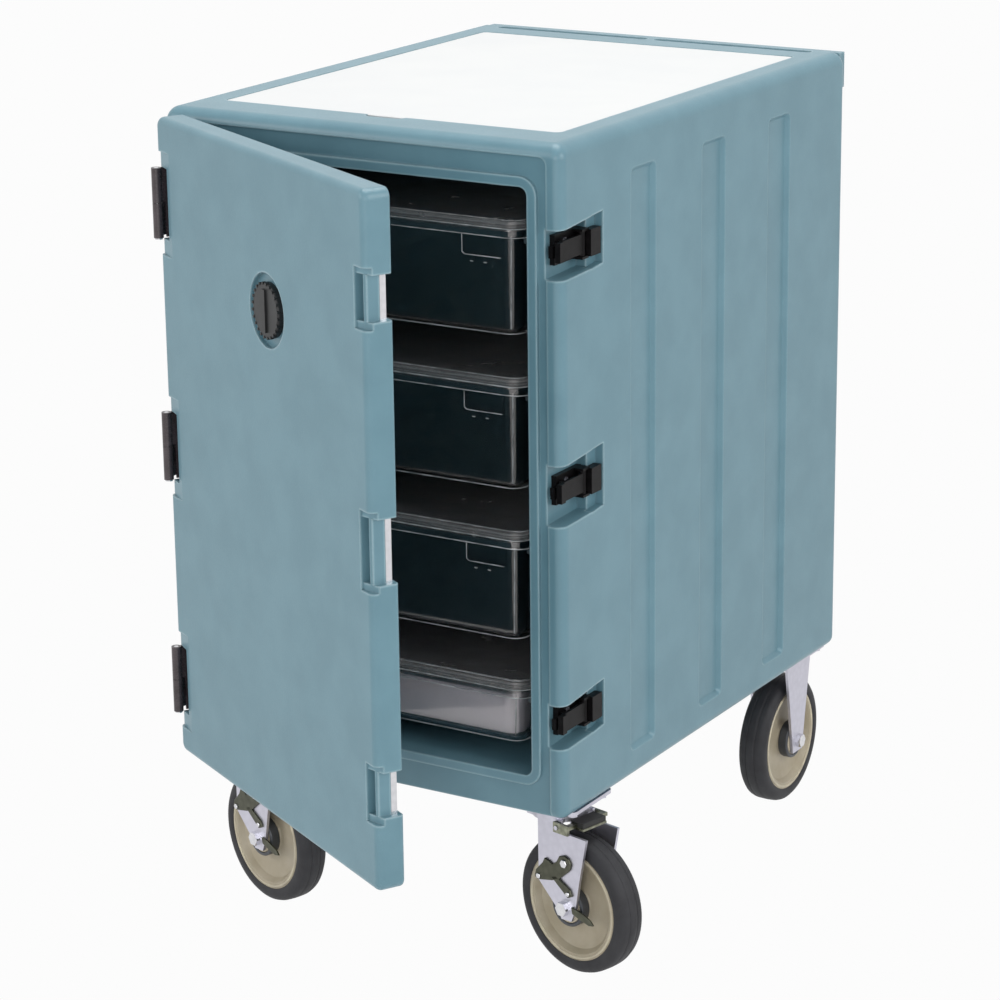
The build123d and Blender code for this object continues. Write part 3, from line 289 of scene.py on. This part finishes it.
def white_cutting_board():
    """Extruded white polyethylene board: an even satin white, crossed by faint knife lines that run
    mostly one way, and a slow waviness from the sheet line."""
    made, tree, place = new_material("white_polyethylene_board")
    drift = add(tree, "TexNoise", {"Vector": place, "Scale": per_metre(120), "Detail": 2.0})
    tones = add(tree, "Mix", {"Factor": drift.outputs["Fac"], "A": linear(BOARD_WHITE),
                              "B": linear(BOARD_COOL)}, data_type="RGBA")
    drawn = add(tree, "Mapping", {"Vector": place, "Rotation": (0, 0, 0.35), "Scale": (1.0, 0.03, 1.0)})
    cuts = add(tree, "TexNoise", {"Vector": drawn.outputs["Vector"], "Scale": per_metre(1.3), "Detail": 3.0})
    few = add(tree, "MapRange", {"Value": cuts.outputs["Fac"], "From Min": 0.62, "From Max": 0.7})
    scores = add(tree, "Bump", {"Height": few.outputs["Result"], "Distance": 0.06 * MM, "Strength": 0.5},
                 invert=True)
    gloss = add(tree, "MapRange", {"Value": drift.outputs["Fac"], "To Min": 0.36, "To Max": 0.5})
    shader = add(tree, "BsdfPrincipled", {"Base Color": tones.outputs["Result"], "IOR": 1.51,
                                          "Roughness": gloss.outputs["Result"],
                                          "Normal": scores.outputs["Normal"]})
    close_material(tree, shader.outputs["BSDF"])
    return made


def clear_polycarbonate(name, clear, low_gloss, high_gloss):
    """Injection-moulded clear polycarbonate: nearly colourless, with sharp reflections that wash haze
    breaks up here and there; lids that are wiped and stacked are more scuffed, so hazier."""
    made, tree, place = new_material(name)
    haze = add(tree, "TexNoise", {"Vector": place, "Scale": per_metre(35), "Detail": 4.0})
    gloss = add(tree, "MapRange", {"Value": haze.outputs["Fac"], "From Min": 0.4, "From Max": 0.75,
                                   "To Min": low_gloss, "To Max": high_gloss})
    waves = add(tree, "TexNoise", {"Vector": place, "Scale": per_metre(60), "Detail": 1.0})
    sway = add(tree, "Bump", {"Height": waves.outputs["Fac"], "Distance": 0.3 * MM, "Strength": 0.4})
    shader = add(tree, "BsdfPrincipled", {"Base Color": linear(CLEAR_TINT), "IOR": 1.58,
                                          "Transmission Weight": clear,
                                          "Roughness": gloss.outputs["Result"],
                                          "Normal": sway.outputs["Normal"]})
    close_material(tree, shader.outputs["BSDF"])
    return made


def painted_edge_highlight():
    """Pale colour for lines along the edges of the polycarbonate: a painted highlight, brighter and dimmer in
    streaks.
    """
    made, tree, place = new_material("polycarbonate_edge_painted_highlight")
    streaks = add(tree, "TexNoise", {"Vector": place, "Scale": per_metre(18), "Detail": 2.0})
    glow = add(tree, "MapRange", {"Value": streaks.outputs["Fac"], "From Min": 0.35, "From Max": 0.65,
                                  "To Min": 0.25, "To Max": 0.9})
    dull = add(tree, "Mix", {"Factor": glow.outputs["Result"], "A": linear(EDGE_HIGHLIGHT_DIM),
                             "B": linear(EDGE_HIGHLIGHT)}, data_type="RGBA")
    shader = add(tree, "BsdfPrincipled", {"Base Color": dull.outputs["Result"], "IOR": 1.58,
                                          "Roughness": 0.2})
    close_material(tree, shader.outputs["BSDF"])
    return made


def tray_polypropylene():
    """Thin translucent polypropylene: milky, soft gloss, with light scattering below the surface."""
    made, tree, place = new_material("tray_polypropylene")
    drift = add(tree, "TexNoise", {"Vector": place, "Scale": per_metre(60), "Detail": 3.0})
    tones = add(tree, "Mix", {"Factor": drift.outputs["Fac"], "A": linear(TRAY_WHITE),
                              "B": linear(TRAY_SHADE)}, data_type="RGBA")
    grain = add(tree, "TexNoise", {"Vector": place, "Scale": per_metre(1.2), "Detail": 2.0})
    matt = add(tree, "Bump", {"Height": grain.outputs["Fac"], "Distance": 0.03 * MM, "Strength": 1.0})
    shader = add(tree, "BsdfPrincipled", {"Base Color": tones.outputs["Result"], "IOR": 1.49,
                                          "Roughness": 0.38, "Subsurface Weight": 0.3,
                                          "Subsurface Radius": (0.004, 0.004, 0.004),
                                          "Normal": matt.outputs["Normal"]})
    close_material(tree, shader.outputs["BSDF"])
    return made


def plated_steel(name, colour, second, roughness, grain_mm, draw=(1.0, 1.0, 1.0)):
    """Plated steel: the crystals of the plating cloud its tone, and drawing lines roughen it."""
    made, tree, place = new_material(name)
    crystals = add(tree, "TexVoronoi", {"Vector": place, "Scale": per_metre(grain_mm)})
    tones = add(tree, "Mix", {"Factor": crystals.outputs["Distance"], "A": linear(colour),
                              "B": linear(second)}, data_type="RGBA")
    drawn = add(tree, "Mapping", {"Vector": place, "Scale": draw})
    lines = add(tree, "TexNoise", {"Vector": drawn.outputs["Vector"], "Scale": per_metre(0.8), "Detail": 3.0})
    gloss = add(tree, "MapRange", {"Value": lines.outputs["Fac"], "To Min": roughness - 0.08,
                                   "To Max": roughness + 0.1})
    brush = add(tree, "Bump", {"Height": lines.outputs["Fac"], "Distance": 0.02 * MM, "Strength": 0.6})
    shader = add(tree, "BsdfPrincipled", {"Base Color": tones.outputs["Result"], "Metallic": 1.0,
                                          "Roughness": gloss.outputs["Result"],
                                          "Normal": brush.outputs["Normal"]})
    close_material(tree, shader.outputs["BSDF"])
    return made


def pedal_steel_and_pad(side, sign):
    """Chromated steel pedal, olive, with the black rubber pad moulded on its top. The pad is told from
    the steel by its place on the fork."""
    made, tree, place = new_material("pedal_steel_and_pad_" + side)
    fork = add(tree, "Mapping", {"Vector": place, "Rotation": (0, 0, math.radians(SWIVELS[side])),
                                 "Location": ((CART_X + sign * FRONT_CASTER_X) * MM,
                                              (CART_Y + FRONT_CASTER_Y) * MM, 0)}, vector_type="TEXTURE")
    spot = add(tree, "SeparateXYZ", {"Vector": fork.outputs["Vector"]})
    off = add(tree, "Math", {0: spot.outputs["Y"]}, operation="ABSOLUTE")
    near = add(tree, "Math", {0: off.outputs[0], 1: PAD_HALF * MM}, operation="LESS_THAN")
    high = add(tree, "Math", {0: spot.outputs["Z"], 1: PAD_LOW * MM}, operation="GREATER_THAN")
    pad = add(tree, "Math", {0: near.outputs[0], 1: high.outputs[0]}, operation="MULTIPLY")
    crystals = add(tree, "TexVoronoi", {"Vector": place, "Scale": per_metre(7)})
    steel = add(tree, "Mix", {"Factor": crystals.outputs["Distance"], "A": linear(OLIVE_PALE),
                              "B": linear(OLIVE_STEEL)}, data_type="RGBA")
    dust = add(tree, "TexNoise", {"Vector": place, "Scale": per_metre(15), "Detail": 4.0})
    rubber = add(tree, "Mix", {"Factor": dust.outputs["Fac"], "A": linear(PEDAL_BLACK),
                               "B": linear(PEDAL_DUST)}, data_type="RGBA")
    tones = add(tree, "Mix", {"Factor": pad.outputs[0], "A": steel.outputs["Result"],
                              "B": rubber.outputs["Result"]}, data_type="RGBA")
    metal = add(tree, "Math", {0: 1.0, 1: pad.outputs[0]}, operation="SUBTRACT")
    gloss = add(tree, "MapRange", {"Value": pad.outputs[0], "To Min": 0.3, "To Max": 0.65})
    shader = add(tree, "BsdfPrincipled", {"Base Color": tones.outputs["Result"],
                                          "Metallic": metal.outputs[0],
                                          "Roughness": gloss.outputs["Result"]})
    close_material(tree, shader.outputs["BSDF"])
    return made


finishes = {
    "body_polyethylene": rotomoulded_polyethylene(),
    "foam": polyurethane_foam(),
    "white_board": white_cutting_board(),
    # Ledges of the same polyethylene, painted dark as the shade of the bay, in two tones that drift in soft
    # clouds
    "ledge_polyethylene": moulded("ledge_polyethylene", LEDGE_PAINTED_SHADE, LEDGE_PAINTED_SHADE_PALE, 0.5, 2.0, 0.06, 45),
    "clear_polycarbonate": clear_polycarbonate("clear_polycarbonate", 1.0, 0.04, 0.16),
    "tray_white": tray_polypropylene(),
    # Extruded EPDM seal: soft black with a bloom of grey dust
    "gasket_rubber": moulded("extruded_epdm_rubber", GASKET_BLACK, GASKET_GREY, 0.75, 0.9, 0.03, 30),
    # Injection-moulded polypropylene cap, spark-eroded grain
    "black_plastic": moulded("black_polypropylene", CAP_BLACK, CAP_GREY, 0.42, 0.9, 0.05, 25, 0.35),
    # Glass-filled nylon: fibres near the skin leave grey clouds and a dull grain
    "latch_nylon": moulded("glass_filled_nylon", NYLON_BLACK, NYLON_GREY, 0.34, 0.8, 0.06, 12, 0.1),
    # Moulded acetal hinge, black-brown with a rosy soft gloss
    "hinge_nylon": moulded("hinge_acetal", HINGE_BROWN, HINGE_ROSE, 0.26, 1.0, 0.03, 20, 0.7),
    "bright_steel": plated_steel("nickel_plated_steel", PLATED_BRIGHT, PLATED_DULL, 0.2, 9.0),
    # Zinc plate on pressed steel: lilac-silver, drawn upright in the press
    "zinc_steel": plated_steel("zinc_plated_steel", ZINC_LILAC, ZINC_GREY, 0.42, 9.0, (1.0, 1.0, 0.08)),
    # Polyolefin wheel centre, greige, with a waxy gloss
    "wheel_core": moulded("polyolefin_wheel_core", WHEEL_GREIGE, WHEEL_SHADE, 0.45, 1.4, 0.04, 40),
    # Thermoplastic rubber tread, dark grey and scuffed paler by rolling
    "tyre_rubber": moulded("thermoplastic_rubber_tyre", TYRE_GREY, TYRE_DARK, 0.62, 1.1, 0.06, 22, 0.35),
}
edge_highlight_finish = painted_edge_highlight()
lid_finish = clear_polycarbonate("scuffed_polycarbonate_lid", 0.9, 0.12, 0.3)
# Chromated steel of the brake: olive film, darker where handled
olive_finish = plated_steel("olive_chromated_steel", OLIVE_STEEL, OLIVE_DARK, 0.38, 9.0)
# Thread guard of moulded nylon, dark slate
guard_finish = moulded("slate_nylon_guard", GUARD_SLATE, GUARD_DARK, 0.4, 0.9, 0.03, 14)
# Rim bead of the wheel core, painted paler than the core as a highlight where the rounded bead catches light
bead_highlight_finish = moulded("rim_bead_painted_highlight", BEAD_HIGHLIGHT_CREAM, WHEEL_GREIGE, 0.4, 1.0, 0.03, 25)

own_finish = {"box_lid_%d" % (i + 1): lid_finish for i in range(len(BOX_LIDS))}
for side, sign in SIDES:
    own_finish["brake_pedal_" + side] = pedal_steel_and_pad(side, sign)

slot_of = {part["node"]: part["material_slot"] for part in frame["record"]["subparts"]}
for name, cad in nodes.items():
    cad.data.materials.clear()
    cad.data.materials.append(own_finish[name] if name in own_finish else finishes[slot_of[name]])


def at(x, y, z):
    """A point given in millimetres from the middle of the body, in metres in the shared frame."""
    return Vector(((CART_X + x) * MM, (CART_Y + y) * MM, z * MM))


def piece_of(name, mesh, finish, body, sharp=35.0, bevel_mm=0.0):
    """An object of this mesh with its finish, that rides on a body."""
    made = bpy.data.objects.new(name, mesh)
    bpy.context.scene.collection.objects.link(made)
    mesh.materials.append(finish)
    mesh.polygons.foreach_set("use_smooth", [True] * len(mesh.polygons))
    mesh.set_sharp_from_angle(angle=math.radians(sharp))
    if bevel_mm:
        soft = made.modifiers.new("soft_edges", "BEVEL")
        soft.width = bevel_mm * MM
        soft.segments = 3
        soft.limit_method = "ANGLE"
        soft.angle_limit = math.radians(35)
    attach(made, body)
    return made


def turned(profiles, centre, axis, steps=96):
    """A mesh of closed profiles of (radius, distance along the axis) in mm, turned about the axis."""
    along = Vector(axis).normalized()
    up = Vector((0.0, 0.0, 1.0))
    side = along.cross(up)
    shape = bmesh.new()
    for profile in profiles:
        rings = []
        for step in range(steps):
            angle = 2 * math.pi * step / steps
            out = side * math.cos(angle) + up * math.sin(angle)
            rings.append([shape.verts.new(centre + out * (r * MM) + along * (a * MM)) for r, a in profile])
        for step in range(steps):
            here, there = rings[step], rings[(step + 1) % steps]
            for i in range(len(profile)):
                j = (i + 1) % len(profile)
                shape.faces.new((here[i], here[j], there[j], there[i]))
    bmesh.ops.recalc_face_normals(shape, faces=shape.faces)
    mesh = bpy.data.meshes.new("turned")
    shape.to_mesh(mesh)
    shape.free()
    return mesh


def plates(outlines, frame_at):
    """A mesh of flat plates: each an outline in mm, with its low and high side, set by a matrix."""
    shape = bmesh.new()
    for outline, low, high in outlines:
        lower = [shape.verts.new(frame_at @ Vector((x * MM, y * MM, low * MM))) for x, y in outline]
        upper = [shape.verts.new(frame_at @ Vector((x * MM, y * MM, high * MM))) for x, y in outline]
        shape.faces.new(list(reversed(lower)))
        shape.faces.new(upper)
        for i in range(len(outline)):
            j = (i + 1) % len(outline)
            shape.faces.new((lower[i], lower[j], upper[j], upper[i]))
    bmesh.ops.recalc_face_normals(shape, faces=shape.faces)
    mesh = bpy.data.meshes.new("plates")
    shape.to_mesh(mesh)
    shape.free()
    return mesh


def ring_points(x, y, radius, count):
    """The corners of a regular outline of count sides round a point, in millimetres."""
    return [(x + radius * math.cos(2 * math.pi * i / count), y + radius * math.sin(2 * math.pi * i / count))
            for i in range(count)]


# Sections of the tyre with its worn tread, and of the wheel's dished core
TREAD = [
    (RIM_R, -TYRE_HALF + 1.5), (RIM_R + 2.0, -TYRE_HALF), (RIM_R + 9.0, -TYRE_HALF),
    (RIM_R + 13.5, -TYRE_HALF + 1.6), (WHEEL_R - 2.2, -TYRE_HALF + 4.6), (WHEEL_R - 0.6, -TYRE_HALF + 9.0),
    (WHEEL_R - 0.2, -7.6), (WHEEL_R - 0.9, -7.0), (WHEEL_R - 0.2, -6.4), (WHEEL_R, -2.0), (WHEEL_R, 2.0),
    (WHEEL_R - 0.2, 6.4), (WHEEL_R - 0.9, 7.0), (WHEEL_R - 0.2, 7.6), (WHEEL_R - 0.6, TYRE_HALF - 9.0),
    (WHEEL_R - 2.2, TYRE_HALF - 4.6), (RIM_R + 13.5, TYRE_HALF - 1.6), (RIM_R + 9.0, TYRE_HALF),
    (RIM_R + 2.0, TYRE_HALF), (RIM_R, TYRE_HALF - 1.5),
]
CORE = [
    (6.1, -27.2), (20.0, -27.2), (21.8, -26.4), (22.6, -24.5), (24.0, -12.5), (26.5, -9.6), (31.0, -8.6),
    (57.0, -9.4), (62.0, -11.6), (65.5, -16.5), (67.6, -18.6), (70.0, -19.2), (RIM_R, -19.2),
    (RIM_R, 19.2), (70.0, 19.2), (67.6, 18.6), (65.5, 16.5), (62.0, 11.6), (57.0, 9.4), (31.0, 8.6),
    (26.5, 9.6), (24.0, 12.5), (22.6, 24.5), (21.8, 26.4), (20.0, 27.2), (6.1, 27.2),
]


def rim_bead(side):
    """The rounded bead on one side of the rim."""
    return [(72.6 + 2.2 * math.cos(math.pi * i / 5), side * (18.6 + 2.2 * math.sin(math.pi * i / 5)))
            for i in range(-5, 5)]


def thread_guard(side):
    """The cupped ring round one end of the hub."""
    return [(r, side * a) for r, a in ((22.9, 13.0), (26.8, 13.0), (27.6, 15.0), (27.6, 25.4), (26.6, 27.0),
                                       (24.4, 27.4), (22.9, 26.6))]


def dress_wheel(which, body, centre, axis):
    """Tyre and core in place of their CAD nodes, and the beads and guards on them."""
    tyre = piece_of("tread_" + which, turned([TREAD], centre, axis, 120), finishes["tyre_rubber"],
                    body, 50)
    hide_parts("tyre_" + which)
    core = piece_of("core_" + which, turned([CORE], centre, axis), finishes["wheel_core"],
                    body, 30)
    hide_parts("wheel_" + which)
    piece_of("rim_beads_" + which, turned([rim_bead(-1), rim_bead(1)], centre, axis), bead_highlight_finish,
             body, 60)
    piece_of("thread_guards_" + which, turned([thread_guard(-1), thread_guard(1)], centre, axis),
             guard_finish, body, 30)


swivel_at = {}
for side, sign in SIDES:
    turn = Matrix.Rotation(math.radians(SWIVELS[side]), 4, "Z")
    swivel_at[side] = Matrix.Translation(at(sign * FRONT_CASTER_X, FRONT_CASTER_Y, 0)) @ turn
    hub = swivel_at[side] @ Vector((SWIVEL_TRAIL * MM, 0, WHEEL_R * MM))
    dress_wheel("front_" + side, "front_wheel_" + side, hub, turn @ Vector((0, 1, 0)))
    rear_hub = at(sign * REAR_CASTER_X, REAR_CASTER_Y, WHEEL_R)
    dress_wheel("rear_" + side, "rear_wheel_" + side, rear_hub, (1, 0, 0))


def outward(face, near, far):
    """The low and high side of a plate that lies on a leg's outer face, from near to far."""
    return (near, far) if face < 0 else (-far, -near)


# Brake linkage on both outer faces of each swivel fork, and the bolts through it
for side in SWIVELS:
    for face, tip in ((-1, "front"), (1, "back")):
        flip = Matrix.Rotation(math.radians(90), 4, "X")
        leg_face = swivel_at[side] @ Matrix.Translation((0, face * LEG_OUT * MM, 0)) @ flip
        low, high = outward(face, 0.0, LINK_THICK)
        linkage = [(outline, low, high) for outline in (BRAKE_ARM, BRAKE_LINK, BRAKE_TAB)]
        piece_of("brake_linkage_%s_%s" % (side, tip), plates(linkage, leg_face), olive_finish,
                 "fork_" + side, 35, LINK_SOFT)
        low, high = outward(face, LINK_THICK, LINK_THICK + BOLT_HIGH)
        bolts = [(ring_points(x, y, radius, 6), low, high) for x, y, radius in BRAKE_BOLTS]
        piece_of("brake_bolts_%s_%s" % (side, tip), plates(bolts, leg_face), finishes["bright_steel"],
                 "fork_" + side, 35, BOLT_SOFT)


def highlight_line(name, body, runs, thick_mm):
    """Round strips along runs of points, each a thin open or closed tube in the painted edge-highlight
    colour.
    """
    line = bpy.data.curves.new(name, "CURVE")
    line.dimensions = "3D"
    line.bevel_depth = thick_mm * MM
    line.bevel_resolution = 2
    for points, closed in runs:
        spline = line.splines.new("POLY")
        spline.points.add(len(points) - 1)
        for spot, point in zip(spline.points, points):
            spot.co = tuple(at(*point)) + (1.0,)
        spline.use_cyclic_u = closed
    made = bpy.data.objects.new(name, line)
    bpy.context.scene.collection.objects.link(made)
    line.materials.append(edge_highlight_finish)
    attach(made, body)
    return made


def round_box(half, front, back, radius, z):
    """The points of a rounded rectangle at height z."""
    corners = ((half - radius, back - radius, 0), (-half + radius, back - radius, 90),
               (-half + radius, front + radius, 180), (half - radius, front + radius, 270))
    return [(x + radius * math.cos(math.radians(start + 15 * i)),
             y + radius * math.sin(math.radians(start + 15 * i)), z)
            for x, y, start in corners for i in range(7)]


# Painted highlight lines along the edges of the clear boxes and lids: thin tubes of pale colour that stand in
# for the light the edges catch
for i, (lid_top, deep) in enumerate(zip(BOX_LIDS, BOX_DEEP), start=1):
    body = "box_%d" % i
    seam = lid_top - LID_BAND
    rim_low = seam - RIM_BAND
    foot = lid_top - deep
    wall = BOX_HALF - RIM_IN
    front = BOX_FRONT + RIM_IN
    back = BOX_BACK - RIM_IN
    around = [
        round_box(BOX_HALF, BOX_FRONT, BOX_BACK, RIM_CORNER, seam),
        round_box(BOX_HALF, BOX_FRONT, BOX_BACK, RIM_CORNER, rim_low),
        round_box(BOX_HALF - LID_STEP, BOX_FRONT + LID_STEP, BOX_BACK - LID_STEP, LID_CORNER, lid_top),
        round_box(wall - FOOT_IN, front + FOOT_IN, back - FOOT_IN, FOOT_CORNER, foot + FOOT_UP),
    ]
    highlight_line("box_edges_%d" % i, body, [(points, True) for points in around], RIM_LINE)
    # Painted highlight lines on the two front corners, leaning in towards the foot
    corner = wall - RIM_CORNER + RIM_CORNER * math.cos(math.radians(-60))
    corner_y = front + RIM_CORNER + RIM_CORNER * math.sin(math.radians(-60))
    lines = [[(s * corner, corner_y, rim_low), (s * (corner - 4), corner_y + 4, foot + 10)] for s in (-1, 1)]
    if deep > LABELLED_FROM:
        # Painted highlight lines at the label recess under the rim, and two ticks below it: in from the wall
        # and down from the rim
        for run in (((82, 2), (82, 26), (78, 29), (26, 29)), ((70, 37), (66, 37)), ((50, 37), (46, 37))):
            lines.append([(wall - inward, front - 0.4, rim_low - down) for inward, down in run])
    highlight_line("box_corners_%d" % i, body, [(points, False) for points in lines], CORNER_LINE)

# Grip ribs round the vent cap
door_at = (Matrix.Translation(at(PIVOT_X, PIVOT_Y, 0)) @ Matrix.Rotation(math.radians(-DOOR_AJAR), 4, "Z")
           @ Matrix.Translation((-PIVOT_X * MM, -PIVOT_Y * MM, 0)))
cap_at = (door_at @ Matrix.Translation((VENT_X * MM, (DOOR_OUT - CAP_PROUD) * MM, VENT_Z * MM))
          @ Matrix.Rotation(math.radians(90), 4, "X"))
ribs = []
for i in range(RIB_COUNT):
    angle = 2 * math.pi * (i + 0.5) / RIB_COUNT
    x, y = RIB_RING * math.cos(angle), RIB_RING * math.sin(angle)
    ribs.append((ring_points(x, y, RIB_R, 8), -4.0, 0.6))
piece_of("vent_cap_ribs", plates(ribs, cap_at), finishes["black_plastic"], "vent_cap", 35)


def plain_background(tree, lighting, shown):
    """One shader shown to camera, glossy and transmission rays, and another that lights the object."""
    rays = add(tree, "LightPath")
    seen = add(tree, "Math", {0: rays.outputs["Is Camera Ray"], 1: rays.outputs["Is Glossy Ray"]},
               operation="MAXIMUM")
    through = add(tree, "Math", {0: seen.outputs[0], 1: rays.outputs["Is Transmission Ray"]},
                  operation="MAXIMUM")
    both = add(tree, "MixShader", {"Fac": through.outputs[0]})
    tree.links.new(lighting.outputs[0], both.inputs[1])
    tree.links.new(shown.outputs[0], both.inputs[2])
    return both.outputs[0]


# Floor, world and lamps
bpy.ops.mesh.primitive_plane_add(size=40.0)
floor = bpy.context.object
floor.name = "studio_floor"
floor_material, tree, place = new_material("matt_white_floor")
pale = add(tree, "BsdfDiffuse", {"Color": linear(FLOOR_PALE)})
bright = add(tree, "Emission", {"Color": linear(FLOOR_WHITE), "Strength": 1.0})
close_material(tree, plain_background(tree, pale, bright))
floor.data.materials.append(floor_material)

world = bpy.data.worlds.new("studio_world")
bpy.context.scene.world = world
world.use_nodes = True
sky = world.node_tree
sky.nodes.clear()
glow = add(sky, "Background", {"Color": (1, 1, 1, 1), "Strength": WORLD_GLOW})
white = add(sky, "Background", {"Color": (1, 1, 1, 1), "Strength": 1.0})
sky.links.new(plain_background(sky, glow, white), add(sky, "OutputWorld").inputs["Surface"])


def softbox(name, place, aim, width, height, power):
    """A rectangular lamp at place that points at aim, both in metres."""
    lamp = bpy.data.lights.new(name, "AREA")
    lamp.shape = "RECTANGLE"
    lamp.size, lamp.size_y = width, height
    lamp.energy = power
    made = bpy.data.objects.new(name, lamp)
    bpy.context.scene.collection.objects.link(made)
    made.location = place
    made.rotation_mode = "QUATERNION"
    made.rotation_quaternion = (Vector(aim) - Vector(place)).to_track_quat("-Z", "Y")
    return made


for lamp in LAMPS:
    softbox(*lamp)

scene = bpy.context.scene
scene.view_settings.view_transform = "Standard"
lens = bpy.data.cameras.new("photo_camera")
lens.sensor_width = CAMERA_SENSOR
lens.lens = CAMERA_LENS
lens.clip_end = 60.0
camera = bpy.data.objects.new("photo_camera", lens)
scene.collection.objects.link(camera)
turned_to = (Matrix.Rotation(math.radians(CAMERA_AZIMUTH), 4, "Z")
             @ Matrix.Rotation(math.radians(90.0 - CAMERA_ELEVATION), 4, "X")
             @ Matrix.Rotation(math.radians(CAMERA_ROLL), 4, "Z"))
camera.matrix_world = Matrix.Translation(CAMERA_PLACE) @ turned_to
scene.camera = camera
